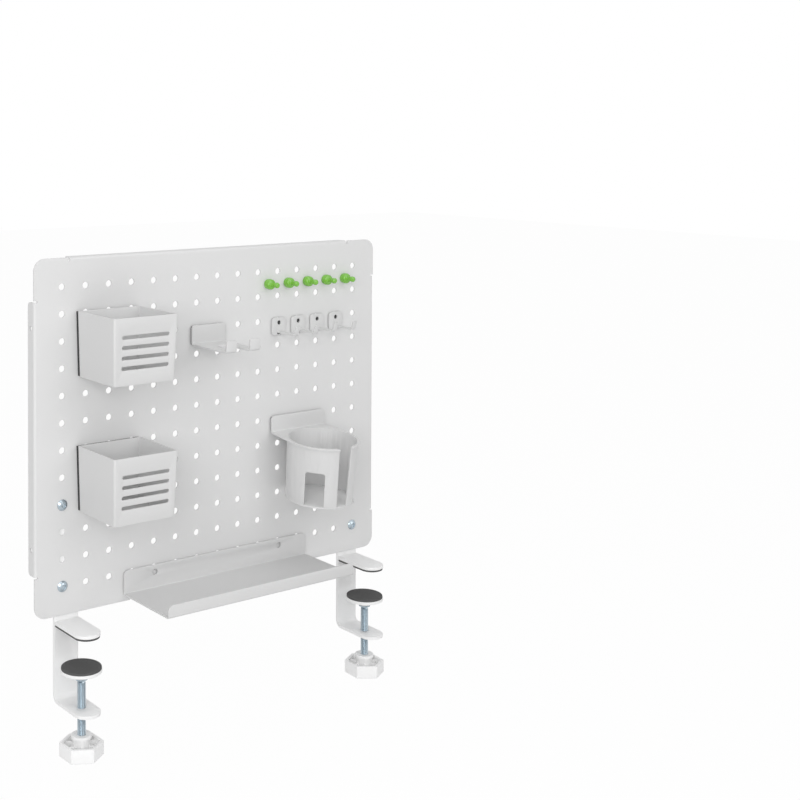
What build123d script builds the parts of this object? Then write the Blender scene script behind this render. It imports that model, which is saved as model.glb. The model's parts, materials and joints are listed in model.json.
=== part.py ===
"""Clamp-on steel pegboard for the edge of a desk, with its magnetic accessories.

Frame: millimetres, +X to the right along the board, +Y from the front of the board to its
back, +Z up. The origin is midway between the two clamps, in the plane of the board's front
face, at the height of the desk top that the clamps grip.
"""

import os
from math import acos, atan2, cos, hypot, radians, sin

from build123d import *

os.makedirs("parts", exist_ok=True)

# ---------------------------------------------------------------- driving dimensions (mm)

# Perforated board: holes on a square grid, edges folded back
pitch = 25.4
columns = 15
rows = 12
peg_hole = 6.35
board_sheet = 1.5
side_margin = 29.2          # from the outer hole columns to the board's sides
end_margin = 27.0           # from the outer hole rows to the board's top and bottom
board_corner = 11.5
desk_gap = 10.0             # the board's lower edge stands this far above the desk top
fold_depth = 12.0
fold_bend = 1.0             # inside radius of the folded edges
fold_corner = 4.0           # rounding of the folds' free corners
side_fold_inset = 40.0      # the side folds stop this far from the board's ends
top_fold_inset = 38.0
bottom_fold_inset = 105.0   # the fold ends behind the shelf
relief_width = 1.5
relief_depth = 3.5
fold_hole = 4.5
fold_hole_inset = 24.0      # from the end of a side fold
fold_hole_setback = 6.8     # behind the board's face

# How far a cutting solid passes the face that it cuts, and how closely an edge is picked
past = 1.0
pick = 0.01

# Clamp brackets, bolted behind the board's outer hole columns
bracket_sheet = 3.0
bracket_width = 25.5
bracket_shift = 5.0         # inwards from the column of its screws
bracket_head = 14.0         # above its upper screw
bracket_corner = 5.0
bracket_screw_rows = (3, 0)  # counted from 0 at the board's lowest row
bracket_bend = 5.0
throat = 68.0               # from the desk top down to the lower jaw
jaw_reach = 50.0            # jaws, forward from the bracket
jaw_sheet = 3.0             # upper jaw, welded on
jaw_pad_thickness = 2.0
jaw_pad_inset = 0.5
jaw_tip_flat = 0.4          # a jaw's tip stays this far from a full half circle

# Fasteners of the brackets
screw_size = 6.0
screw_head = 10.5
screw_head_height = 3.3
screw_head_rim = 0.8        # height of the head's upright edge
screw_socket = 4.0
screw_socket_depth = 2.0
screw_hole = 6.35
washer_size = 12.0
washer_thickness = 1.6
nut_size = 10.0
nut_thickness = 5.0
screw_spare = 1.2           # the shank passes the nut by this much

# Clamp screw, swivelling pressure disc and knob
spindle_size = 8.0
spindle_reach = 28.0        # from the bracket's face forward to the screw's axis
running_clearance = 0.05    # round the screw in the lower jaw and its neck in the ring
grip_opening = 30.0         # between the two rubber faces, as drawn
rubber_size = 37.5
rubber_thickness = 2.0
disc_size = 38.5
disc_thickness = 3.0
disc_edge = 0.6
boss_size = 14.0
boss_height = 5.0
ball_size = 6.4
ball_clearance = 0.3        # above and round the ball in its socket
socket_floor = 1.5          # disc material left above the socket
neck_size = 4.4
ring_size = 12.0
ring_thickness = 1.2
ring_gap = 0.8              # lets the disc tilt
neck_spare = 1.5            # neck left below the ring
collar_drop = 22.0          # from the lower jaw's underside to the knob's collar
collar_size = 19.0
collar_lip = 3.0
collar_waist = 16.5
collar_height = 7.0         # above the knob's rim
knob_flats = 36.0
knob_height = 13.0
knob_wall = 3.0
knob_floor = 4.0
knob_edge = 1.2
knob_ribs = 6
rib_thickness = 2.0
rib_setback = 2.0           # below the knob's rim

# Bins: two alike, one above the other
bin_width = 69.0            # at the rim
bin_depth = 65.5
bin_foot_width = 65.5       # the sides and the front taper, the rear face is upright
bin_foot_depth = 62.5
bin_height = 61.5
bin_wall = 1.5
bin_corner = 2.0
bin_centre = -128.5
bin_drops = (50.2, 176.3)   # from the board's top edge down to each rim
bin_magnet = 3.0
bin_magnet_inset = 0.5
bin_slots = 4
bin_slot_length = 51.0
bin_slot_height = 3.6
bin_slot_spacing = 9.4
bin_first_slot = 17.5       # below the rim

# Two-armed holder for a phone or headphones
holder_width = 40.0
holder_centre = -13.5
holder_drop = 74.5          # from the board's top edge down to the back plate's
holder_height = 19.8
holder_depth = 59.0
holder_lip = 12.0
holder_sheet = 2.0
holder_bend = 1.0
holder_magnet = 2.0
holder_magnet_inset = 1.0
holder_notch = 16.0
holder_notch_start = 21.0   # the floor is whole for this far in front of the back plate
holder_corner = 3.0
holder_lip_corner = 1.5

# Small single hooks in a row, one below each of four hole columns
hook_count = 4
hook_first_column = 10
hook_plate = 18.0
hook_plate_corner = 3.0
hook_row = 2
hook_hole_offset = 2.1      # the plate's hole lies this far below that row
hook_sheet = 1.5
hook_magnet = 1.0
hook_magnet_inset = 1.0
hook_hole = 4.5
hook_hole_drop = 5.1        # below the plate's top edge
hook_arm_width = 5.0
hook_arm_rise = 2.5         # the arm leaves the plate this far above its lower edge
hook_arm_root = 6.0         # length of the arm's strip that lies in the plate
hook_reach = 27.5
hook_tip_rise = 9.0
hook_tip_lean = 3.5
hook_bend = 1.2

# Cup holder
cup_centre = 100.9
cup_plate_width = 70.0
cup_plate_drop = 175.6      # from the board's top edge down to the back plate's
cup_plate_corner = 4.0
cup_sheet = 2.0
cup_bend = 1.2
cup_magnet = 2.0
cup_magnet_inset = 1.5
cup_rim_drop = 15.6         # from the back plate's top edge down to the rim's upper face
cup_lean = 5.0              # degrees by which the rim slopes down towards its front
cup_rim_size = 75.5
cup_rim_setback = 38.7      # the cup's axis, forward from the plate's face
cup_mouth = 72.4            # outside of the sleeve at its mouth
cup_base = 69.2             # outside of the sleeve at its foot
cup_depth = 62.0
cup_wall = 1.5
cup_slot_top = 15.5
cup_slot_foot = 12.3
cup_slot_corner = 2.5       # rounding of the rim's corners beside the slot
cup_window_angle = 50.0     # from the front, to each side
cup_window_width = 20.0
cup_window_drop = 26.0      # below the mouth
cup_window_corner = 3.0

# Shelf
shelf_width = 222.6
shelf_rise = 2.8            # the back plate's top edge, above the board's lowest row
shelf_back_height = 23.5
shelf_depth = 77.5
shelf_lip = 12.4
shelf_sheet = 1.5
shelf_bend = 1.0
shelf_magnet = 1.0
shelf_magnet_inset = 1.5
shelf_corner = 4.0
shelf_lip_corner = 6.0
lip_straight = 0.4          # least upright edge left between a lip's corner and its fold
shelf_hole = 6.0
shelf_magnet_hole = 9.0     # the magnet stands back from the shelf's holes
shelf_hole_drop = 7.0
shelf_hole_column = 3       # columns out from the middle of the board

# Push-pin magnets, between the two top rows of holes
pin_count = 5
pin_first_column = 9.5
pin_row = 0.5
pin_base_size = 11.0
pin_base_length = 7.0
pin_base_edge = 2.2
pin_rear_edge = 0.5
pin_neck_size = 4.4
pin_head_size = 5.8
pin_head_edge = 2.0
pin_neck_length = 4.0
pin_length = 17.0
pin_magnet_size = 8.0
pin_magnet_thickness = 2.5

# ---------------------------------------------------------------- places worked out from them

board_width = (columns - 1) * pitch + 2 * side_margin
board_height = (rows - 1) * pitch + 2 * end_margin
board_middle = desk_gap + board_height / 2
board_top = desk_gap + board_height


def column_x(column):
    """X of a hole column, counted from 0 at the left."""
    return (column - (columns - 1) / 2) * pitch


def row_z(row):
    """Z of a hole row, counted from 0 at the top."""
    return board_top - end_margin - row * pitch


def low_row_z(row):
    """Z of a hole row, counted from 0 at the bottom."""
    return row_z(rows - 1 - row)


def edges_at(part, along, height):
    """Edges along one axis that lie at a height."""
    return part.edges().filter_by(along).filter_by_position(Axis.Z, height - pick, height + pick)


def front_slab(sketch, rear, thickness):
    """Sketch in X and Z, made solid from Y = rear towards the front."""
    return extrude(Plane.XZ.offset(-rear) * sketch, thickness)


def near(shape_vertices, point):
    """The vertex closest to a point."""
    return shape_vertices.sort_by_distance(point)[0]


def folded_section(points, sheet, bend):
    """Face in the YZ plane of a sheet folded along `points`, its outer line.

    The sheet lies to the left of the line, the inside radius of each fold is `bend`.
    """
    unit = []
    for (y0, z0), (y1, z1) in zip(points, points[1:]):
        length = hypot(y1 - y0, z1 - z0)
        unit.append(((y1 - y0) / length, (z1 - z0) / length))
    inner = [(points[0][0] - unit[0][1] * sheet, points[0][1] + unit[0][0] * sheet)]
    for (y, z), (ay, az), (by, bz) in zip(points[1:-1], unit, unit[1:]):
        scale = sheet / (1 + ay * by + az * bz)
        inner.append((y - (az + bz) * scale, z + (ay + by) * scale))
    inner.append((points[-1][0] - unit[-1][1] * sheet, points[-1][1] + unit[-1][0] * sheet))
    face = make_face(Polyline(*points, *reversed(inner), close=True))
    for corner in points[1:-1]:
        face = fillet(near(face.vertices(), Vector(*corner)), bend + sheet)
    for corner in inner[1:-1]:
        face = fillet(near(face.vertices(), Vector(*corner)), bend)
    return face


def folded_sheet(points, sheet, bend, width, centre):
    """The folded section drawn out to a width along X."""
    return extrude(Plane.YZ.offset(centre) * folded_section(points, sheet, bend), width / 2, both=True)


def write(name, *solids):
    """Write one node, as one solid or as a group of separate ones."""
    shape = solids[0] if len(solids) == 1 else Compound(children=list(solids))
    shape.label = name
    export_step(shape, f"parts/{name}.step")


# ---------------------------------------------------------------- board


def edge_fold(length, holes):
    """Fold along an upper edge: the board's face is at Y = 0 and its edge at Z = 0."""
    line = [(fold_depth, 0), (0, 0), (0, -fold_strip)]
    fold = folded_sheet(line, board_sheet, fold_bend, length, 0)
    free_corners = fold.edges().filter_by(Axis.Z).group_by(Axis.Y)[-1]
    fold = fillet(free_corners, fold_corner)
    for side in holes:
        place = Pos(side * (length / 2 - fold_hole_inset), fold_hole_setback, -board_sheet / 2)
        fold -= place * Cylinder(fold_hole / 2, 2 * board_sheet)
    return fold


def edge_cut(length):
    """What the flat sheet loses for a fold along its upper edge, with its two reliefs."""
    strip = Pos(0, -fold_strip / 2) * Rectangle(length, fold_strip)
    for side in (-1, 1):
        relief = Rectangle(relief_width, relief_depth)
        strip += Pos(side * (length + relief_width) / 2, -relief_depth / 2) * relief
    return strip


fold_strip = fold_bend + 2 * board_sheet
side_fold = board_height - 2 * side_fold_inset
top_fold = board_width - 2 * top_fold_inset
bottom_fold = board_width - 2 * bottom_fold_inset

# Turn of each edge from the upper one, its distance from the middle, its length and holes
edges = (
    (0, board_height / 2, top_fold, ()),
    (90, board_width / 2, side_fold, (-1, 1)),
    (180, board_height / 2, bottom_fold, ()),
    (270, board_width / 2, side_fold, (-1, 1)),
)

outline = RectangleRounded(board_width, board_height, board_corner)
outline -= [place * Circle(peg_hole / 2) for place in GridLocations(pitch, pitch, columns, rows)]
for turn, distance, length, holes in edges:
    outline -= Rot(0, 0, -turn) * Pos(0, distance) * edge_cut(length)
panel = Pos(0, 0, board_middle) * front_slab(outline, board_sheet, board_sheet)
for turn, distance, length, holes in edges:
    panel += Pos(0, 0, board_middle) * Rot(0, turn, 0) * Pos(0, 0, distance) * edge_fold(length, holes)
write("pegboard_panel", panel)

# ---------------------------------------------------------------- clamp brackets

bracket_rear = board_sheet + bracket_sheet
bracket_axis = column_x(columns - 1) - bracket_shift
bracket_top = low_row_z(bracket_screw_rows[0]) + bracket_head
jaw_tip = board_sheet - jaw_reach
lower_jaw_top = -throat
lower_jaw_under = lower_jaw_top - bracket_sheet
spindle_y = board_sheet - spindle_reach
spindle = Pos(bracket_axis, spindle_y, 0)
screw_places = [Pos(column_x(columns - 1), 0, low_row_z(row)) for row in bracket_screw_rows]


def both_sides(name, part):
    """Write the right-hand part as drawn and the left-hand one as its mirror image."""
    write(f"{name}_right", part)
    write(f"{name}_left", mirror(part, about=Plane.YZ))


def jaw_plate(width, rear, tip, bottom, thickness):
    """Flat jaw with a round tip, its axis on the bracket's."""
    middle = (rear + tip) / 2
    plate = Pos(bracket_axis, middle, bottom + thickness / 2) * Box(width, rear - tip, thickness)
    tip_corners = plate.edges().filter_by(Axis.Z).group_by(Axis.Y)[0]
    return fillet(tip_corners, width / 2 - jaw_tip_flat)


def along_y(radius, front, rear):
    """Cylinder about the Y axis, between two values of Y."""
    return Pos(0, (front + rear) / 2, 0) * Rot(90, 0, 0) * Cylinder(radius, rear - front)


bracket_line = [(jaw_tip, lower_jaw_under), (bracket_rear, lower_jaw_under), (bracket_rear, bracket_top)]
bracket = folded_sheet(bracket_line, bracket_sheet, bracket_bend, bracket_width, bracket_axis)
tip_corners = bracket.edges().filter_by(Axis.Z).group_by(Axis.Y)[0]
bracket = fillet(tip_corners, bracket_width / 2 - jaw_tip_flat)
head_corners = bracket.edges().filter_by(Axis.Y).group_by(Axis.Z)[-1]
bracket = fillet(head_corners, bracket_corner)
for place in screw_places:
    bracket -= place * along_y(screw_hole / 2, 0, bracket_rear + past)
tapped_hole = Cylinder(spindle_size / 2 + running_clearance, 3 * bracket_sheet)
bracket -= spindle * Pos(0, 0, lower_jaw_under) * tapped_hole
both_sides("clamp_bracket", bracket)

upper_jaw = jaw_plate(bracket_width, board_sheet, jaw_tip, jaw_pad_thickness, jaw_sheet)
both_sides("upper_jaw", upper_jaw)

pad_rear = board_sheet - jaw_pad_inset
pad_width = bracket_width - 2 * jaw_pad_inset
jaw_pad = jaw_plate(pad_width, pad_rear, jaw_tip + jaw_pad_inset, 0, jaw_pad_thickness)
both_sides("jaw_pad", jaw_pad)

# ---------------------------------------------------------------- bracket fasteners

washer_rear = bracket_rear + washer_thickness
nut_rear = washer_rear + nut_thickness


def button_screw():
    """Button-head screw with a hexagon socket, its head in front of Y = 0."""
    shank = along_y(screw_size / 2, 0, nut_rear + screw_spare)
    dome = screw_head_height - screw_head_rim
    dome_radius = ((screw_head / 2) ** 2 + dome**2) / (2 * dome)
    ball = Pos(0, dome_radius - screw_head_height, 0) * Sphere(dome_radius)
    head = along_y(screw_head / 2, -screw_head_height, 0) & ball
    socket = RegularPolygon(screw_socket / 2, 6, major_radius=False)
    socket = front_slab(socket, screw_socket_depth - screw_head_height, screw_socket_depth)
    return head + shank - socket


def washer():
    """Plain washer behind the bracket."""
    ring = along_y(washer_size / 2, bracket_rear, washer_rear)
    return ring - along_y(screw_hole / 2, bracket_rear - past, washer_rear + past)


def nut():
    """Hexagon nut behind the washer."""
    block = front_slab(RegularPolygon(nut_size / 2, 6, major_radius=False), nut_rear, nut_thickness)
    return block - along_y(screw_size / 2, washer_rear - past, nut_rear + past)


def on_both_brackets(part):
    """Copies of a fastener at every screw of the two brackets."""
    right = [place * part for place in screw_places]
    left = [mirror(copy, about=Plane.YZ) for copy in right]
    return right + left


write("bracket_screws", *on_both_brackets(button_screw()))
write("bracket_washers", *on_both_brackets(washer()))
write("bracket_nuts", *on_both_brackets(nut()))

# ---------------------------------------------------------------- clamp screws

rubber_top = -grip_opening
disc_top = rubber_top - rubber_thickness
disc_under = disc_top - disc_thickness
boss_under = disc_under - boss_height
socket_top = disc_top - socket_floor
ball_centre = socket_top - ball_clearance - ball_size / 2
ring_top = boss_under - ring_gap
ring_under = ring_top - ring_thickness
neck_end = ring_under - neck_spare
collar_top = lower_jaw_under - collar_drop
knob_rim = collar_top - collar_height
knob_under = knob_rim - knob_height
knob_recess = knob_under + knob_floor
knob_turn = -33             # a flat of the knob faces the front left


def upright(radius, bottom, top):
    """Cylinder about the Z axis, between two heights."""
    return Pos(0, 0, (bottom + top) / 2) * Cylinder(radius, top - bottom)


rubber_disc = upright(rubber_size / 2, disc_top, rubber_top)
both_sides("rubber_disc", spindle * rubber_disc)

pressure_disc = fillet(upright(disc_size / 2, disc_under, disc_top).edges(), disc_edge)
pressure_disc += upright(boss_size / 2, boss_under, disc_under)
pressure_disc -= upright(ball_size / 2 + ball_clearance, boss_under - past, socket_top)
both_sides("pressure_disc", spindle * pressure_disc)

retaining_ring = upright(ring_size / 2, ring_under, ring_top)
retaining_ring -= upright(neck_size / 2 + running_clearance, ring_under - past, ring_top + past)
both_sides("retaining_ring", spindle * retaining_ring)

clamp_screw = upright(spindle_size / 2, knob_recess, neck_end)
clamp_screw += upright(neck_size / 2, neck_end, ball_centre)
clamp_screw += Pos(0, 0, ball_centre) * Sphere(ball_size / 2)
both_sides("clamp_screw", spindle * clamp_screw)


def hexagon(flats, bottom, top):
    """Upright hexagonal bar."""
    return Pos(0, 0, bottom) * extrude(RegularPolygon(flats / 2, 6, major_radius=False), top - bottom)


knob = hexagon(knob_flats, knob_under, knob_rim)
knob = fillet(knob.edges().filter_by(Axis.Z), knob_edge)
knob = fillet(knob.edges().group_by(Axis.Z)[0], knob_edge)
knob -= hexagon(knob_flats - 2 * knob_wall, knob_recess, knob_rim + past)
rib_reach = knob_flats / 2 - knob_wall / 2
for rib in range(knob_ribs):
    web = Box(rib_thickness, rib_reach, knob_rim - rib_setback - knob_recess)
    web = Pos(0, rib_reach / 2, (knob_rim - rib_setback + knob_recess) / 2) * web
    knob += Rot(0, 0, rib * 360 / knob_ribs) * web
knob += upright(collar_waist / 2, knob_recess, collar_top - collar_lip)
knob += upright(collar_size / 2, collar_top - collar_lip, collar_top)
knob -= upright(spindle_size / 2, knob_recess, collar_top + past)
both_sides("clamp_knob", spindle * Rot(0, 0, knob_turn) * knob)

# ---------------------------------------------------------------- magnet sheets


def magnet_sheet(width, height, thickness, centre, bottom):
    """Flexible magnet between the board and an accessory."""
    middle = Pos(centre, bottom + height / 2)
    return front_slab(middle * Rectangle(width, height), 0, thickness)


# ---------------------------------------------------------------- bins


def bin_section(width, depth, wall, height):
    """Plan of a bin at a height, its rear edge upright and `wall` inside the bin's outline."""
    middle = Pos(bin_centre, -bin_magnet - depth / 2, height)
    return middle * RectangleRounded(width - 2 * wall, depth - 2 * wall, bin_corner - wall)


def bin_block(wall, bottom, top):
    """Solid between a bin's foot and its rim, `wall` inside its outline."""
    foot = bin_section(bin_foot_width, bin_foot_depth, wall, bottom)
    rim = bin_section(bin_width, bin_depth, wall, top)
    return loft([foot, rim], ruled=True)


def bin_tray(top):
    """Open tapered box, its front pierced by level slots."""
    bottom = top - bin_height
    tray = bin_block(0, bottom, top) - bin_block(bin_wall, bottom + bin_wall, top)
    slot = SlotOverall(bin_slot_length, bin_slot_height)
    rear = -bin_magnet - bin_foot_depth + 2 * bin_wall
    reach = bin_depth - bin_foot_depth + 4 * bin_wall
    for number in range(bin_slots):
        height = top - bin_first_slot - number * bin_slot_spacing
        tray -= front_slab(Pos(bin_centre, height) * slot, rear, reach)
    return tray


def bin_magnet_sheet(top):
    """Magnet behind a bin, a little smaller than its rear face all round."""
    half_rim = bin_width / 2 - bin_magnet_inset
    half_foot = bin_foot_width / 2 - bin_magnet_inset
    upper = top - bin_magnet_inset
    lower = top - bin_height + bin_magnet_inset
    outline = make_face(
        Polyline(
            (bin_centre - half_foot, lower),
            (bin_centre + half_foot, lower),
            (bin_centre + half_rim, upper),
            (bin_centre - half_rim, upper),
            close=True,
        )
    )
    return front_slab(outline, 0, bin_magnet)


for name, drop in zip(("upper", "lower"), bin_drops):
    top = board_top - drop
    write(f"{name}_bin", bin_tray(top))
    write(f"{name}_bin_magnet", bin_magnet_sheet(top))

# ---------------------------------------------------------------- phone holder

holder_top = board_top - holder_drop
holder_bottom = holder_top - holder_height
holder_front = -holder_magnet - holder_depth
holder_line = [
    (holder_front, holder_bottom + holder_lip),
    (holder_front, holder_bottom),
    (-holder_magnet, holder_bottom),
    (-holder_magnet, holder_top),
]
holder = folded_sheet(holder_line, holder_sheet, holder_bend, holder_width, holder_centre)
upright_corners = holder.edges().filter_by(Axis.Y)
holder = fillet(upright_corners.group_by(Axis.Z)[-1], holder_corner)
notch_back = -holder_magnet - holder_sheet - holder_notch_start
notch_end = notch_back - holder_notch / 2
notch_length = notch_end - holder_front
notch = Pos(holder_centre, notch_end) * Circle(holder_notch / 2)
notch += Pos(holder_centre, notch_end - notch_length) * Rectangle(holder_notch, 2 * notch_length)
holder -= Pos(0, 0, holder_bottom - past) * extrude(notch, holder_lip + 2 * past)
holder = fillet(edges_at(holder, Axis.Y, holder_bottom + holder_lip), holder_lip_corner)
write("phone_holder", holder)
width = holder_width - 2 * holder_magnet_inset
height = holder_height - 2 * holder_magnet_inset
bottom = holder_bottom + holder_magnet_inset
write("phone_holder_magnet", magnet_sheet(width, height, holder_magnet, holder_centre, bottom))

# ---------------------------------------------------------------- small hooks

hook_hole_height = row_z(hook_row) - hook_hole_offset
hook_bottom = hook_hole_height + hook_hole_drop - hook_plate
hook_outline = RectangleRounded(hook_plate, hook_plate, hook_plate_corner)
arm_front = -hook_magnet - hook_sheet - hook_reach
arm_height = hook_bottom + hook_arm_rise
arm_line = [
    (arm_front - hook_tip_lean, arm_height + hook_tip_rise),
    (arm_front, arm_height),
    (-hook_magnet, arm_height),
    (-hook_magnet, arm_height + hook_arm_root),
]
notch_height = hook_arm_rise + hook_bend + past
magnet_side = hook_plate - 2 * hook_magnet_inset
magnet_outline = RectangleRounded(magnet_side, magnet_side, hook_plate_corner - hook_magnet_inset)

for number in range(hook_count):
    centre = column_x(hook_first_column + number)
    middle = Pos(centre, hook_bottom + hook_plate / 2)
    hole = Pos(centre, hook_hole_height) * Circle(hook_hole / 2)
    notch = Pos(centre, arm_height + hook_bend - notch_height / 2) * Rectangle(hook_arm_width, notch_height)
    plate = front_slab(middle * hook_outline - hole - notch, -hook_magnet, hook_sheet)
    hook = plate + folded_sheet(arm_line, hook_sheet, hook_bend, hook_arm_width, centre)
    write(f"hook_{number + 1}", hook)
    write(f"hook_{number + 1}_magnet", front_slab(middle * magnet_outline, 0, hook_magnet))

# ---------------------------------------------------------------- cup holder

cup_plate_rear = -cup_magnet
cup_y = -cup_magnet - cup_sheet - cup_rim_setback
cup_plate_top = board_top - cup_plate_drop
cup_rim_height = cup_plate_top - cup_rim_drop
cup_rim_under = cup_rim_height - cup_sheet
cup_foot = cup_rim_height - cup_depth
cup_floor_top = cup_foot + cup_wall
cup_axis = Pos(cup_centre, cup_y, 0)
cup_fold = Pos(0, cup_plate_rear, cup_rim_under)
lean = cup_fold * Rot(cup_lean, 0, 0) * cup_fold.inverse()


def cup_cone(mouth, foot, bottom, top):
    """Tapered round solid about the cup's axis."""
    middle = Pos(0, 0, (bottom + top) / 2)
    return cup_axis * middle * Cone(foot / 2, mouth / 2, top - bottom)


def rim_outline():
    """Rim in plan about the cup's axis: a ring drawn out in straight lines to the back plate."""
    half = cup_plate_width / 2
    rear = cup_plate_rear - cup_sheet - cup_bend - cup_y
    radius = cup_rim_size / 2
    touch = atan2(rear, half) - acos(radius / hypot(half, rear))
    x, y = radius * cos(touch), radius * sin(touch)
    neck = make_face(Polyline((half, rear), (x, y), (0, 0), (-x, y), (-half, rear), close=True))
    return neck + Circle(radius)


slot_half_top = cup_slot_top / 2
slot_half_foot = cup_slot_foot / 2
slot_outline = make_face(
    Polyline(
        (cup_centre - slot_half_foot, cup_floor_top),
        (cup_centre + slot_half_foot, cup_floor_top),
        (cup_centre + slot_half_top, cup_rim_height),
        (cup_centre + slot_half_top, cup_rim_height + past),
        (cup_centre - slot_half_top, cup_rim_height + past),
        (cup_centre - slot_half_top, cup_rim_height),
        close=True,
    )
)
for side in (-1, 1):
    corner = Rectangle(2 * cup_slot_corner, cup_slot_corner + past, align=(Align.CENTER, Align.MIN))
    corner = Pos(side * slot_half_top, -cup_slot_corner) * corner
    corner -= Pos(side * (slot_half_top + cup_slot_corner), -cup_slot_corner) * Circle(cup_slot_corner)
    slot_outline += Pos(cup_centre, cup_rim_height) * corner
front_slot = front_slab(slot_outline, cup_y, cup_rim_size)

fold_reach = cup_sheet + 2 * cup_bend
fold_lean = radians(cup_lean)
cup_line = [
    (cup_plate_rear - fold_reach * cos(fold_lean), cup_rim_under - fold_reach * sin(fold_lean)),
    (cup_plate_rear, cup_rim_under),
    (cup_plate_rear, cup_plate_top),
]
cup_plate = folded_sheet(cup_line, cup_sheet, cup_bend, cup_plate_width, cup_centre)
cup_plate = fillet(cup_plate.edges().filter_by(Axis.Y).group_by(Axis.Z)[-1], cup_plate_corner)
cup_rim = cup_axis * Pos(0, 0, cup_rim_under) * extrude(rim_outline(), cup_sheet)
cup_rim -= cup_cone(cup_mouth, cup_base, cup_floor_top, cup_rim_height)
cup_rim -= front_slot
write("cup_holder_rim", cup_plate + lean * cup_rim)

sleeve = cup_cone(cup_mouth, cup_base, cup_floor_top, cup_rim_height)
sleeve -= cup_cone(cup_mouth - 2 * cup_wall, cup_base - 2 * cup_wall, cup_floor_top, cup_rim_height)
sleeve -= front_slot
window_height = cup_rim_height - cup_window_drop - cup_floor_top
window_middle = cup_floor_top + window_height / 2
window = Pos(0, -cup_mouth / 2, window_middle) * Box(cup_window_width, cup_mouth, window_height)
window = fillet(window.edges().filter_by(Axis.Y).group_by(Axis.Z)[-1], cup_window_corner)
for side in (-1, 1):
    sleeve -= cup_axis * Rot(0, 0, side * cup_window_angle) * window
write("cup_holder_sleeve", lean * sleeve)

write("cup_holder_floor", lean * cup_axis * upright(cup_base / 2, cup_foot, cup_floor_top))

width = cup_plate_width - 2 * cup_magnet_inset
height = cup_plate_top - cup_rim_under - 2 * cup_magnet_inset
bottom = cup_rim_under + cup_magnet_inset
write("cup_holder_magnet", magnet_sheet(width, height, cup_magnet, cup_centre, bottom))

# ---------------------------------------------------------------- shelf

shelf_top = low_row_z(0) + shelf_rise
shelf_bottom = shelf_top - shelf_back_height
shelf_front = -shelf_magnet - shelf_depth
shelf_line = [
    (shelf_front, shelf_bottom + shelf_lip),
    (shelf_front, shelf_bottom),
    (-shelf_magnet, shelf_bottom),
    (-shelf_magnet, shelf_top),
]
shelf = folded_sheet(shelf_line, shelf_sheet, shelf_bend, shelf_width, 0)
shelf = fillet(shelf.edges().filter_by(Axis.Y).group_by(Axis.Z)[-1], shelf_corner)
lip_edges = edges_at(shelf, Axis.Y, shelf_bottom + shelf_lip)
lip_room = shelf_lip - shelf_bend - shelf_sheet - lip_straight
shelf = fillet(lip_edges, min(shelf_lip_corner, lip_room))
hole_places = [
    Pos(side * shelf_hole_column * pitch, shelf_top - shelf_hole_drop) for side in (-1, 1)
]
for place in hole_places:
    hole = place * Circle(shelf_hole / 2)
    shelf -= front_slab(hole, past, shelf_magnet + shelf_sheet + 2 * past)
write("shelf_tray", shelf)
strip = magnet_sheet(
    shelf_width - 2 * shelf_magnet_inset,
    shelf_back_height - 2 * shelf_magnet_inset,
    shelf_magnet,
    0,
    shelf_bottom + shelf_magnet_inset,
)
for place in hole_places:
    strip -= front_slab(place * Circle(shelf_magnet_hole / 2), past, shelf_magnet + 2 * past)
write("shelf_magnet", strip)

# ---------------------------------------------------------------- push-pin magnets


def pin_body():
    """Pin along +Z from the board: wide base, waist and small head, with a magnet pocket."""
    head_start = pin_base_length + pin_neck_length
    base = upright(pin_base_size / 2, 0, pin_base_length)
    base = fillet(base.edges().group_by(Axis.Z)[-1], pin_base_edge)
    base = fillet(base.edges().group_by(Axis.Z)[0], pin_rear_edge)
    neck = upright(pin_neck_size / 2, pin_base_length / 2, head_start + pin_head_edge)
    head = fillet(upright(pin_head_size / 2, head_start, pin_length).edges(), pin_head_edge)
    return base + neck + head - upright(pin_magnet_size / 2, -past, pin_magnet_thickness)


for number in range(pin_count):
    place = Pos(column_x(pin_first_column + number), 0, row_z(pin_row)) * Rot(90, 0, 0)
    write(f"pin_{number + 1}", place * pin_body())
    magnet = upright(pin_magnet_size / 2, 0, pin_magnet_thickness)
    write(f"pin_{number + 1}_magnet", place * magnet)
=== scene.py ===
"""Dresses the clamp-on pegboard: finishes, rounded sheet edges, threads, pins, light and camera.

All lengths are in metres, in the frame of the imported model: +X right, +Y into the board, +Z up.
"""

from __future__ import annotations

import json
import logging
import math
from collections.abc import Iterable
from dataclasses import dataclass
from enum import Enum

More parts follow.
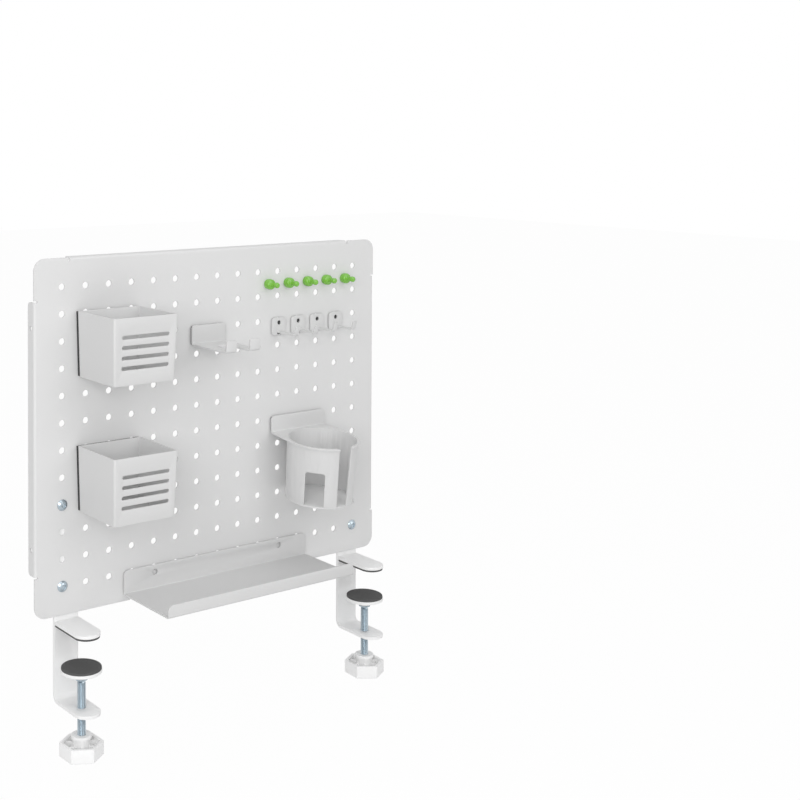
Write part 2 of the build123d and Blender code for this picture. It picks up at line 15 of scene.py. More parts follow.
import bmesh
import bpy
import numpy as np
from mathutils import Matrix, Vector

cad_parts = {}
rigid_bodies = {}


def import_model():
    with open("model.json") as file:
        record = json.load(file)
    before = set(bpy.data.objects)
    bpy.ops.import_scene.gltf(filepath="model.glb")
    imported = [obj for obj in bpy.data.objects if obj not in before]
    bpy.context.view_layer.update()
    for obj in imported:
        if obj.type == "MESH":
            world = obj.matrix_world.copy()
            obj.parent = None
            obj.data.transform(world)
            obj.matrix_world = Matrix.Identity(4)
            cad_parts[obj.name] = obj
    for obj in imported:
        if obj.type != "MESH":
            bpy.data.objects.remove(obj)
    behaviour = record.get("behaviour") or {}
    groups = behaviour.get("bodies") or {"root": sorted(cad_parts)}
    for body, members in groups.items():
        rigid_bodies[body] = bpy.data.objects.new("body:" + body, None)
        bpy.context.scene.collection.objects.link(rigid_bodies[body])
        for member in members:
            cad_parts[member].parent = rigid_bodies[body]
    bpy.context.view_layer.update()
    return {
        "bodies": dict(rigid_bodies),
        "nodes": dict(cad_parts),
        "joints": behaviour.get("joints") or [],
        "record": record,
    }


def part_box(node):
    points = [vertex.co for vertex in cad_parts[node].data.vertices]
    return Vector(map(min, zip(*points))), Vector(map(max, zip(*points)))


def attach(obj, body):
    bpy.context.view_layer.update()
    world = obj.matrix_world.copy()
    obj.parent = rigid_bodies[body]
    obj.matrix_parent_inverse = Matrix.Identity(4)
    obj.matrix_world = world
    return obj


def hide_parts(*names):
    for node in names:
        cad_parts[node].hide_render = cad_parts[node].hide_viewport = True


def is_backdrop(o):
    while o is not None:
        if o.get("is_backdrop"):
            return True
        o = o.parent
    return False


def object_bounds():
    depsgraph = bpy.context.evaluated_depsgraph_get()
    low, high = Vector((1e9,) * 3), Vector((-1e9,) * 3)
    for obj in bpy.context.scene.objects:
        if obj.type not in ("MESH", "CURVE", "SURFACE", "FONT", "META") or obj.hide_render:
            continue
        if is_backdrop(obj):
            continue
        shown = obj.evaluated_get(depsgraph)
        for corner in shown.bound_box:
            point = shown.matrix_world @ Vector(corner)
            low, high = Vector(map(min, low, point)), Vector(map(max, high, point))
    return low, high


LOG = logging.getLogger("pegboard")
MM = 0.001
FULL_TURN = 2 * math.pi
# Painted highlight and painted shade along edges and creases: how far it reaches, and how fast it grows with
# the turn of the normal
EDGE_RADIUS = 0.6 * MM
EDGE_GAIN = 4.0
COAT_ROUGHNESS = 0.06
# Cells of the grit to one of the peel, and cells to a metre of the mottle and of the dust
GRIT_RATIO = 3.7
MOTTLE_CELLS = 14.0
DUST_CELLS = 120.0
# Cut of a thread: the gain of its flanks, and what is taken off the cut so that a crest stays flat
FLANK_GAIN = 1.25
CREST_SHARE = 0.12
# Softened copies: closer points are merged, flatter edges dissolved, sharper edges rounded, and
# what is then still sharper than the last angle is shaded as an edge
MERGE_DISTANCE = 0.002 * MM
FLAT_ANGLE = math.radians(0.6)
ROUND_ANGLE = math.radians(50)
SHARP_ANGLE = math.radians(32)
# A corner of a profile that turns less than this, in radians, counts as straight
STRAIGHT_TURN = 1e-6


class Slot(Enum):
    """Material slots of the record."""

    BOARD = "board_paint"
    ACCESSORY = "accessory_paint"
    CLAMP = "clamp_paint"
    KNOB = "knob_plastic"
    RUBBER = "black_rubber"
    ZINC = "zinc_steel"
    # Dark magnet sheet: its dark colour is partly the magnet's own and partly painted shade for the gap
    # behind each accessory
    MAGNET_AND_PAINTED_SHADE = "magnet_sheet"
    PIN = "green_plastic"
    PIN_MAGNET = "pin_magnet"


# ------------------------------------------------------------------ shader groups

Value = bpy.types.NodeSocket | float


def socket(
    group: bpy.types.NodeTree, name: str, kind: str, inward: bool, value: float | None = None
) -> None:
    """Add one named socket to a shader group.

    Args:
        group: The group that gets the socket.
        name: Its label.
        kind: Float, Vector or Color.
        inward: Whether it is an input.
        value: Its value where nothing is linked.
    """
    way = "INPUT" if inward else "OUTPUT"
    made = group.interface.new_socket(name, in_out=way, socket_type=f"NodeSocket{kind}")
    if value is not None:
        made.default_value = value


def new_group(name: str) -> tuple[bpy.types.NodeTree, bpy.types.Node, bpy.types.Node]:
    """Make an empty shader group.

    Args:
        name: Its name.

    Returns:
        The group, its input node and its output node.
    """
    group = bpy.data.node_groups.new(name, "ShaderNodeTree")
    return group, group.nodes.new("NodeGroupInput"), group.nodes.new("NodeGroupOutput")


def maths(tree: bpy.types.NodeTree, operation: str, first: Value, second: Value) -> bpy.types.NodeSocket:
    """Place a Math node.

    Args:
        tree: The tree it goes into.
        operation: Its operation.
        first: A socket or a number.
        second: A socket or a number.

    Returns:
        Its result.
    """
    node = tree.nodes.new("ShaderNodeMath")
    node.operation = operation
    for index, value in enumerate((first, second)):
        if isinstance(value, bpy.types.NodeSocket):
            tree.links.new(value, node.inputs[index])
        else:
            node.inputs[index].default_value = value
    return node.outputs[0]


def noise(
    tree: bpy.types.NodeTree, place: bpy.types.NodeSocket, scale: Value, detail: float
) -> bpy.types.NodeSocket:
    """Place a Noise node.

    Args:
        tree: The tree it goes into.
        place: The coordinates it reads.
        scale: Cells to a metre, as a socket or a number.
        detail: Its octaves.

    Returns:
        Its value, about 0.5 on average.
    """
    node = tree.nodes.new("ShaderNodeTexNoise")
    node.inputs["Detail"].default_value = detail
    tree.links.new(place, node.inputs["Vector"])
    if isinstance(scale, bpy.types.NodeSocket):
        tree.links.new(scale, node.inputs["Scale"])
    else:
        node.inputs["Scale"].default_value = scale
    return node.outputs["Fac"]


def grain_group() -> bpy.types.NodeTree:
    """Fine relief of a coat or a moulding: one noise for the peel, a finer one for its grit.

    Returns:
        A group with Vector, Cells and Grit in, and Height and Mottle out.
    """
    group, entry, leave = new_group("coat_grain")
    socket(group, "Vector", "Vector", True)
    socket(group, "Cells", "Float", True, 900.0)
    socket(group, "Grit", "Float", True, 0.35)
    socket(group, "Height", "Float", False)
    socket(group, "Mottle", "Float", False)
    peel = noise(group, entry.outputs["Vector"], entry.outputs["Cells"], detail=2.0)
    finer = maths(group, "MULTIPLY", entry.outputs["Cells"], GRIT_RATIO)
    fine = noise(group, entry.outputs["Vector"], finer, detail=1.0)
    gritty = maths(group, "MULTIPLY", fine, entry.outputs["Grit"])
    group.links.new(maths(group, "ADD", peel, gritty), leave.inputs["Height"])
    mottle = noise(group, entry.outputs["Vector"], MOTTLE_CELLS, detail=3.0)
    group.links.new(mottle, leave.inputs["Mottle"])
    return group


def edge_group() -> bpy.types.NodeTree:
    """Where an edge or crease is near, for the painted highlight and painted shade there: the turn between
    the true normal and one rounded over a radius.

    Returns:
        A group with Gain in, and Edge out, from 0 on a flat face to 1 on an edge.
    """
    group, entry, leave = new_group("painted_edge_highlight_and_shade")
    socket(group, "Gain", "Float", True, EDGE_GAIN)
    socket(group, "Edge", "Float", False)
    rounded = group.nodes.new("ShaderNodeBevel")
    rounded.samples = 4
    rounded.inputs["Radius"].default_value = EDGE_RADIUS
    true = group.nodes.new("ShaderNodeNewGeometry")
    turn = group.nodes.new("ShaderNodeVectorMath")
    turn.operation = "DOT_PRODUCT"
    group.links.new(rounded.outputs["Normal"], turn.inputs[0])
    group.links.new(true.outputs["Normal"], turn.inputs[1])
    gap = maths(group, "SUBTRACT", 1.0, turn.outputs["Value"])
    strong = group.nodes.new("ShaderNodeMath")
    strong.operation = "MULTIPLY"
    strong.use_clamp = True
    group.links.new(gap, strong.inputs[0])
    group.links.new(entry.outputs["Gain"], strong.inputs[1])
    group.links.new(strong.outputs[0], leave.inputs["Edge"])
    return group


def dust_group() -> bpy.types.NodeTree:
    """Thin dust on what faces up, broken up by noise.

    Returns:
        A group with Vector and Amount in, and Dust out.
    """
    group, entry, leave = new_group("settled_dust")
    socket(group, "Vector", "Vector", True)
    socket(group, "Amount", "Float", True, 0.1)
    socket(group, "Dust", "Float", False)
    true = group.nodes.new("ShaderNodeNewGeometry")
    parts = group.nodes.new("ShaderNodeSeparateXYZ")
    group.links.new(true.outputs["Normal"], parts.inputs[0])
    upward = maths(group, "MAXIMUM", parts.outputs["Z"], 0.0)
    patches = noise(group, entry.outputs["Vector"], DUST_CELLS, detail=4.0)
    broken = maths(group, "MULTIPLY", upward, patches)
    group.links.new(maths(group, "MULTIPLY", broken, entry.outputs["Amount"]), leave.inputs["Dust"])
    return group


# ------------------------------------------------------------------ finishes

Color = tuple[float, float, float]


def linear(level: float) -> float:
    """Linear value of a screen level: the standard curve, a straight line near black.

    Args:
        level: The screen level, from 0 to 255.

    Returns:
        The linear value, from 0 to 1.
    """
    share = level / 255
    return share / 12.92 if share <= 0.04045 else ((share + 0.055) / 1.055) ** 2.4


def screen(red: float, green: float, blue: float) -> Color:
    """Linear colour of three screen levels.

    Args:
        red: The first level, from 0 to 255.
        green: The second.
        blue: The third.

    Returns:
        The linear colour.
    """
    return linear(red), linear(green), linear(blue)


@dataclass(frozen=True)
class Finish:
    """Surface of one material slot."""

    slot: Slot
    color: Color
    roughness: float
    roughness_spread: float
    cells: float
    relief: float
    grit: float = 0.35
    mottle: float = 0.03
    # Painted highlight where above 0 and painted shade where below 0, along edges and creases
    edge: float = 0.0
    dust: float = 0.0
    metallic: float = 0.0
    coat: float = 0.0

    def build(self, groups: dict[str, bpy.types.NodeTree]) -> bpy.types.Material:
        """Make the material.

        The colour drifts by the mottle, an edge lightens it by `edge` as a painted highlight or darkens it
        as painted shade, dust lightens what faces up, and the relief is a bump of the grain's height.

        Args:
            groups: The shared groups by name.

        Returns:
            The material, named after its slot.
        """
        material = bpy.data.materials.new(self.slot.value)
        material.use_nodes = True
        tree = material.node_tree
        shader = tree.nodes["Principled BSDF"]
        place = tree.nodes.new("ShaderNodeTexCoord").outputs["Object"]
        grain = self._group(tree, groups["grain"], {"Cells": self.cells, "Grit": self.grit}, place)
        shade = maths(tree, "MULTIPLY_ADD", grain.outputs["Mottle"], 2 * self.mottle)
        shade.node.inputs[2].default_value = 1 - self.mottle
        # Painted highlight or painted shade along edges and creases
        if self.edge:
            edge = self._group(tree, groups["edge"], {"Gain": EDGE_GAIN}, None)
            shade = maths(tree, "ADD", shade, maths(tree, "MULTIPLY", edge.outputs["Edge"], self.edge))
        if self.dust:
            dust = self._group(tree, groups["dust"], {"Amount": self.dust}, place)
            shade = maths(tree, "ADD", shade, dust.outputs["Dust"])
        tint = tree.nodes.new("ShaderNodeVectorMath")
        tint.operation = "SCALE"
        tint.inputs[0].default_value = self.color
        tree.links.new(shade, tint.inputs["Scale"])
        tree.links.new(tint.outputs["Vector"], shader.inputs["Base Color"])
        rough = maths(tree, "MULTIPLY_ADD", grain.outputs["Mottle"], 2 * self.roughness_spread)
        rough.node.inputs[2].default_value = self.roughness - self.roughness_spread
        tree.links.new(rough, shader.inputs["Roughness"])
        bump = tree.nodes.new("ShaderNodeBump")
        bump.inputs["Strength"].default_value = 1.0
        bump.inputs["Distance"].default_value = self.relief
        tree.links.new(grain.outputs["Height"], bump.inputs["Height"])
        tree.links.new(bump.outputs["Normal"], shader.inputs["Normal"])
        shader.inputs["Metallic"].default_value = self.metallic
        shader.inputs["Coat Weight"].default_value = self.coat
        shader.inputs["Coat Roughness"].default_value = COAT_ROUGHNESS
        return material

    @staticmethod
    def _group(
        tree: bpy.types.NodeTree,
        group: bpy.types.NodeTree,
        values: dict[str, float],
        place: bpy.types.NodeSocket | None,
    ) -> bpy.types.Node:
        """Place a shared group in a material.

        Args:
            tree: The material's tree.
            group: The group.
            values: Its own input values.
            place: Coordinates for its Vector input, if it has one.

        Returns:
            The group's node.
        """
        node = tree.nodes.new("ShaderNodeGroup")
        node.node_tree = group
        for name, value in values.items():
            node.inputs[name].default_value = value
        if place is not None:
            tree.links.new(place, node.inputs["Vector"])
        return node


# Slot, colour, roughness and its spread, the grain's cells to a metre and its relief
# edge: painted shade along edges and creases where below 0, and a painted highlight there where above 0
FINISHES = (
    Finish(Slot.BOARD, screen(219, 219, 219), 0.50, 0.05, 950, 0.010 * MM,
           mottle=0.008, edge=-0.06, dust=0.01),
    Finish(Slot.ACCESSORY, screen(211, 211, 211), 0.46, 0.05, 1100, 0.008 * MM,
           mottle=0.008, edge=0.06, dust=0.01),
    Finish(Slot.CLAMP, screen(242, 242, 242), 0.42, 0.05, 1000, 0.010 * MM,
           mottle=0.01, edge=-0.06, dust=0.01),
    Finish(Slot.KNOB, screen(246, 246, 246), 0.48, 0.06, 1500, 0.008 * MM, mottle=0.012, edge=-0.05),
    Finish(Slot.RUBBER, screen(80, 80, 80), 0.78, 0.08, 2200, 0.030 * MM, grit=0.6, mottle=0.08, edge=-0.25),
    Finish(Slot.ZINC, screen(178, 190, 198), 0.26, 0.06, 1800, 0.004 * MM, mottle=0.05, metallic=1.0),
    # Magnet sheet: dark partly as the magnet's own colour and partly as painted shade for the gap between
    # accessory and board
    Finish(Slot.MAGNET_AND_PAINTED_SHADE, screen(52, 52, 53), 0.70, 0.08, 1600, 0.020 * MM, mottle=0.08),
    Finish(Slot.PIN, screen(112, 182, 43), 0.14, 0.02, 300, 0.0005 * MM, mottle=0.02, coat=0.8),
    Finish(Slot.PIN_MAGNET, screen(200, 200, 202), 0.18, 0.05, 1500, 0.003 * MM, mottle=0.03, metallic=1.0),
)


class Workshop:
    """The frame, its materials, and what every sub-assembly needs to place a piece."""

    def __init__(self, frame: dict) -> None:
        """Build each finish and give it to the nodes of its slot.
        """
        self.nodes: dict[str, bpy.types.Object] = frame["nodes"]
        groups = {"grain": grain_group(), "edge": edge_group(), "dust": dust_group()}
        self.materials = {finish.slot.value: finish.build(groups) for finish in FINISHES}
        record = frame["record"]
        self.slot_of = {entry["node"]: entry["material_slot"] for entry in record["subparts"]}
        self.body_of = {
            node: body for body, members in record["behaviour"]["bodies"].items() for node in members
        }
        for node, piece in self.nodes.items():
            self.paint(piece, self.slot_of[node])

    def paint(self, piece: bpy.types.Object, slot: str) -> None:
        """Give a piece the material of a slot, and nothing else.

        Args:
            piece: The piece.
            slot: The slot's name.
        """
        piece.data.materials.clear()
        piece.data.materials.append(self.materials[slot])

    def stand_in(self, piece: bpy.types.Object, node: str) -> None:
        """Let a piece stand for a CAD node: same body, same slot, same finish.

        Args:
            piece: The piece, in place.
            node: The node it replaces.
        """
        slot = self.slot_of[node]
        self.paint(piece, slot)
        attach(piece, self.body_of[node])
        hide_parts(node)
        LOG.info("%s stands for %s with %d faces", piece.name, node, len(piece.data.polygons))


# ------------------------------------------------------------------ surfaces

Faces = list[tuple[int, ...]]


@dataclass
class Shell:
    """Closed surface, as points and faces that point outwards."""

    points: np.ndarray
    faces: Faces

    def __add__(self, other: Shell) -> Shell:
        """Both surfaces in one, still apart from each other.

        Args:
            other: The other surface.

        Returns:
            The two together.
        """
        shift = len(self.points)
        moved = [tuple(corner + shift for corner in face) for face in other.faces]
        return Shell(np.vstack((self.points, other.points)), self.faces + moved)

    def placed(self, turn: np.ndarray, at: tuple[float, float, float]) -> Shell:
        """The surface turned by a matrix and then moved.

        Args:
            turn: A rotation, 3 by 3.
            at: Where its origin goes.

        Returns:
            The placed surface.
        """
        return Shell(self.points @ turn.T + np.array(at), self.faces)

    def piece(self, name: str, crease: float = 35.0) -> bpy.types.Object:
        """Make the Blender object, smooth but for edges sharper than an angle.

        Args:
            name: The object's name.
            crease: The angle, in degrees.

        Returns:
            The object, at the origin.
        """
        mesh = bpy.data.meshes.new(name)
        mesh.from_pydata(self.points, [], self.faces)
        mesh.shade_smooth()
        mesh.set_sharp_from_angle(angle=math.radians(crease))
        made = bpy.data.objects.new(name, mesh)
        bpy.context.scene.collection.objects.link(made)
        return made


UPRIGHT = np.eye(3)
# Turns an upright shape so that its top points out of the board, towards -Y
OUTWARD = np.array([[1.0, 0.0, 0.0], [0.0, 0.0, -1.0], [0.0, 1.0, 0.0]])


def grid_shell(rows: np.ndarray, bottom_pole: bool, top_pole: bool) -> Shell:
    """Close rings of points, stacked from the bottom to the top, into a surface.

    Neighbouring rings are joined by four-sided faces. An end that is a pole is closed by one point at
    its ring's mean. A surface with no poles joins its last ring to its first, as a ring's section does.

    Args:
        rows: The rings, counted (ring, point, xyz), anticlockwise seen from above.
        bottom_pole: Whether the first ring is closed.
        top_pole: Whether the last ring is closed.

    Returns:
        The surface.
    """
    rings, count = rows.shape[:2]
    index = np.arange(rings * count).reshape(rings, count)
    if not (bottom_pole or top_pole):
        index = np.vstack((index, index[:1]))
    beside = np.roll(index, -1, axis=1)
    quads = np.stack((index[:-1], beside[:-1], beside[1:], index[1:]), axis=-1).reshape(-1, 4)
    faces: Faces = [tuple(face) for face in quads.tolist()]
    points = rows.reshape(-1, 3)
    for wanted, ring, flip in ((bottom_pole, 0, True), (top_pole, rings - 1, False)):
        if not wanted:
            continue
        pole = len(points)
        points = np.vstack((points, rows[ring].mean(axis=0)))
        for a, b in zip(index[ring].tolist(), beside[ring].tolist()):
            faces.append((b, a, pole) if flip else (a, b, pole))
    return Shell(points, faces)


def eased(corners: list[tuple[float, float, float]], steps: int = 5) -> np.ndarray:
    """Line through corners, each rounded by an arc that touches both of its sides.

    An arc of radius r at a corner whose sides turn by t starts r tan(t / 2) before it.

    Args:
        corners: Radius from the axis, height and rounding of each corner.
        steps: Points on each arc.

    Returns:
        Radius and height of each point.
    """
    line = [np.array(corners[0][:2])]
    for before, here, after in zip(corners, corners[1:], corners[2:]):
        point = np.array(here[:2])
        enter = point - np.array(before[:2])
        leave = np.array(after[:2]) - point
        enter, leave = enter / np.linalg.norm(enter), leave / np.linalg.norm(leave)
        turn = math.atan2(enter[0] * leave[1] - enter[1] * leave[0], enter @ leave)
        if here[2] <= 0 or abs(turn) < STRAIGHT_TURN:
            line.append(point)
            continue
        side = np.array((-enter[1], enter[0])) * math.copysign(here[2], turn)
        start = point - enter * here[2] * math.tan(abs(turn) / 2)
        angles = np.linspace(0, turn, steps)
        middle = start + side
        spun = np.stack(
            (
                -side[0] * np.cos(angles) + side[1] * np.sin(angles),
                -side[0] * np.sin(angles) - side[1] * np.cos(angles),
            ),
            axis=-1,
        )
        line.extend(middle + spun)
    line.append(np.array(corners[-1][:2]))
    return np.array(line)


def lathe(profile: np.ndarray, sides: int, poles: bool = True) -> Shell:
    """Turn a profile about Z: each of its points draws a circle of its radius at its height.

    Args:
        profile: Radius and height of each point, from the bottom round the outside to the top.
        sides: Points on each circle.
        poles: Whether both ends lie on the axis; a profile without them is a closed loop.

    Returns:
        The surface.
    """
    angle = np.linspace(0, FULL_TURN, sides, endpoint=False)
    rings = profile[1:-1] if poles else profile
    radius, height = rings[:, 0, None], rings[:, 1, None]
    rows = np.stack((radius * np.cos(angle), radius * np.sin(angle), height + 0 * angle), axis=-1)
    return grid_shell(rows, poles, poles)


def hexagon_reach(angle: np.ndarray, flats: float, corner: float) -> np.ndarray:
    """Distance from the axis to a hexagon's side: half the flats over the cosine of the angle off it.

    Args:
        angle: Angles about the axis.
        flats: Distance across the flats.
        corner: Most that a point may lie from the axis, which rounds the corners off.

    Returns:
        The distance at each angle.
    """
    off_side = (angle + math.pi / 6) % (math.pi / 3) - math.pi / 6
    return np.minimum(flats / 2 / np.cos(off_side), corner)


def ring_rows(angle: np.ndarray, rings: Iterable[tuple[np.ndarray, float]]) -> np.ndarray:
    """Points of level rings about Z, each given by its distances from the axis and its height.

    Args:
        angle: Angles about the axis.
        rings: Distance at each angle, and height, of each ring.

    Returns:
        The points, counted (ring, point, xyz).
    """
    rows = [np.stack((r * np.cos(angle), r * np.sin(angle), 0 * angle + h), -1) for r, h in rings]
    return np.array(rows)


def threaded(profile: np.ndarray, lead: float, depth: float, start: float, end: float, sides: int) -> Shell:
    """Turn a profile about Z with a right-hand thread cut into a stretch of it.

    The cut is deepest midway between two crests. A crest climbs by the lead in each turn, and the cut
    fades to nothing over one lead at both ends of the stretch.

    Args:
        profile: Radius and height of each point, from the bottom up.
        lead: Height between two turns.
        depth: Depth of the cut.
        start: Height at which the thread begins.
        end: Height at which it ends.
        sides: Points on each circle.

    Returns:
        The surface.
    """
    angle = np.linspace(0, FULL_TURN, sides, endpoint=False)
    radius, height = profile[:, 0, None], profile[:, 1, None]
    phase = (height / lead - angle / FULL_TURN) % 1.0
    valley = 1 - np.abs(2 * phase - 1)
    fade = np.clip(np.minimum(height - start, end - height) / lead, 0, 1)
    cut = radius - depth * np.clip(FLANK_GAIN * valley - CREST_SHARE, 0, 1) * fade
    rows = np.stack((cut * np.cos(angle), cut * np.sin(angle), height + 0 * angle), axis=-1)
    return grid_shell(rows, True, True)


def softened(node: bpy.types.Object, name: str, width: float, segments: int = 2) -> bpy.types.Object:
    """Copy of a CAD node with its sharp edges rounded, as a coat of paint rounds them.

    Args:
        node: The node, which is left as it is.
        name: The copy's name.
        width: How far the rounding reaches from each edge.
        segments: Faces across the rounding.

    Returns:
        The copy, with its rounding applied.
    """
    mesh = node.data.copy()
    work = bmesh.new()
    work.from_mesh(mesh)
    bmesh.ops.remove_doubles(work, verts=work.verts, dist=MERGE_DISTANCE)
    bmesh.ops.dissolve_limit(work, angle_limit=FLAT_ANGLE, verts=work.verts, edges=work.edges)
    work.to_mesh(mesh)
    work.free()
    copy = bpy.data.objects.new(name, mesh)
    bpy.context.scene.collection.objects.link(copy)
    round_edges = copy.modifiers.new("rounded_edges", "BEVEL")
    round_edges.width = width
    round_edges.segments = segments
    round_edges.limit_method = "ANGLE"
    round_edges.angle_limit = ROUND_ANGLE
    round_edges.use_clamp_overlap = True
    bpy.context.view_layer.update()
    seen = copy.evaluated_get(bpy.context.evaluated_depsgraph_get())
    final = bpy.data.meshes.new_from_object(seen)
    copy.modifiers.clear()
    copy.data = final
    final.shade_smooth()
    final.set_sharp_from_angle(angle=SHARP_ANGLE)
    return copy


# ------------------------------------------------------------------ sub-assemblies


@dataclass
class SheetMetal:
    """Bent and welded sheets: their CAD shapes, with the edges that paint leaves."""

    paint_round: float = 0.22 * MM

    def build(self, shop: Workshop) -> None:
        """Round the edges of every painted sheet but the perforated panel.

        Args:
            shop: Where the pieces go.
        """
        for node, source in sorted(shop.nodes.items()):
            slot = shop.slot_of[node]
            if node == "pegboard_panel" or slot not in (Slot.ACCESSORY.value, Slot.CLAMP.value):
                continue
            if node.startswith("pressure_disc"):
                continue
            shop.stand_in(softened(source, f"{node}_sheet", self.paint_round), node)


@dataclass
class Clamp:
    """One desk clamp below the board: screw, knob, pressure disc, pads and ring."""

    side: str
    lead: float = 1.25 * MM
    thread_depth: float = 0.68 * MM
    rows_per_turn: int = 8
    ball_radius: float = 3.2 * MM
    neck_radius: float = 2.2 * MM
    neck_spare: float = 1.5 * MM
    screw_round: float = 0.9 * MM
    screw_sides: int = 36
    ball_steps: int = 18
    rubber_round: float = 0.55 * MM
    rubber_foot_round: float = 0.165 * MM
    rubber_rim: float = 1.76 * MM
    rubber_slope: float = 0.55 * MM
    rubber_dish: float = 0.25 * MM
    rubber_dish_round: float = 0.275 * MM
    rubber_sides: int = 96
    ring_spare: float = 0.05 * MM
    ring_round: float = 0.2 * MM
    ring_sides: int = 64
    knob_round: float = 0.55 * MM
    pad_round: float = 0.35 * MM
    disc_round: float = 0.3 * MM

    def build(self, shop: Workshop) -> None:
        """Build every piece of the clamp that the eye meets close up.

        Args:
            shop: Where the pieces go.
        """
        self._screw(shop)
        self._rubber(shop)
        self._ring(shop)
        node = f"clamp_knob_{self.side}"
        shop.stand_in(softened(shop.nodes[node], f"{node}_moulding", self.knob_round, segments=3), node)
        node = f"jaw_pad_{self.side}"
        shop.stand_in(softened(shop.nodes[node], f"{node}_rubber", self.pad_round), node)
        node = f"pressure_disc_{self.side}"
        shop.stand_in(softened(shop.nodes[node], f"{node}_steel", self.disc_round), node)

    def _axis(self, node: str) -> tuple[float, float, float, float, float]:
        """Centre, lowest and highest point, and radius of an upright round node.

        Args:
            node: The node.

        Returns:
            X, Y, the lowest Z, the highest Z and the radius.
        """
        low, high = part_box(node)
        return (low.x + high.x) / 2, (low.y + high.y) / 2, low.z, high.z, (high.x - low.x) / 2

    def _screw(self, shop: Workshop) -> None:
        """Threaded spindle, its neck and its ball end.

        The radius is a function of height: the bar, a chamfer, the neck, and a sphere.

        Args:
            shop: Where the piece goes.
        """
        node = f"clamp_screw_{self.side}"
        x, y, low, high, radius = self._axis(node)
        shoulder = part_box(f"retaining_ring_{self.side}")[0].z - self.neck_spare
        bar = np.arange(low + self.screw_round, shoulder - self.screw_round, self.lead / self.rows_per_turn)
        ball_centre = high - self.ball_radius
        dip = math.acos(self.neck_radius / self.ball_radius)
        latitude = np.linspace(-dip, math.pi / 2, self.ball_steps)[:-1]
        profile = np.vstack(
            (
                (radius - self.screw_round, low),
                np.stack((np.full_like(bar, radius), bar), axis=-1),
                (radius - self.screw_round, shoulder),
                (self.neck_radius, shoulder),
                np.stack(
                    (
                        self.ball_radius * np.cos(latitude),
                        ball_centre + self.ball_radius * np.sin(latitude),
                    ),
                    axis=-1,
                ),
            )
        )
        made = threaded(profile, self.lead, self.thread_depth, low, shoulder, self.screw_sides)
        shop.stand_in(made.placed(UPRIGHT, (x, y, 0)).piece(f"{node}_threaded", crease=60), node)

    def _rubber(self, shop: Workshop) -> None:
        """Rubber face: rounded rim, and a middle dished a little below it.

        Args:
            shop: Where the piece goes.
        """
        node = f"rubber_disc_{self.side}"
        x, y, low, high, radius = self._axis(node)
        dish = high - self.rubber_dish
        inner = radius - self.rubber_rim
        corners = [
            (0, low, 0),
            (radius, low, self.rubber_foot_round),
            (radius, high, self.rubber_round),
            (inner, high, self.rubber_dish_round),
            (inner - self.rubber_slope, dish, self.rubber_dish_round),
            (0, dish, 0),
        ]
        made = lathe(eased(corners), self.rubber_sides).placed(UPRIGHT, (x, y, 0))
        shop.stand_in(made.piece(f"{node}_moulded"), node)

    def _ring(self, shop: Workshop) -> None:
        """Retaining ring under the disc, a rounded section turned about the axis.

        Args:
            shop: Where the piece goes.
        """
        node = f"retaining_ring_{self.side}"
        x, y, low, high, radius = self._axis(node)
        bore = self.neck_radius + self.ring_spare
        soft = self.ring_round
        corners = [
            ((bore + radius) / 2, low, 0),
            (radius, low, soft),
            (radius, high, soft),
            (bore, high, soft),
            (bore, low, soft),
            ((bore + radius) / 2, low, 0),
        ]
        section = eased(corners, steps=4)[:-1]
        made = lathe(section, self.ring_sides, poles=False).placed(UPRIGHT, (x, y, 0))
        shop.stand_in(made.piece(f"{node}_turned"), node)


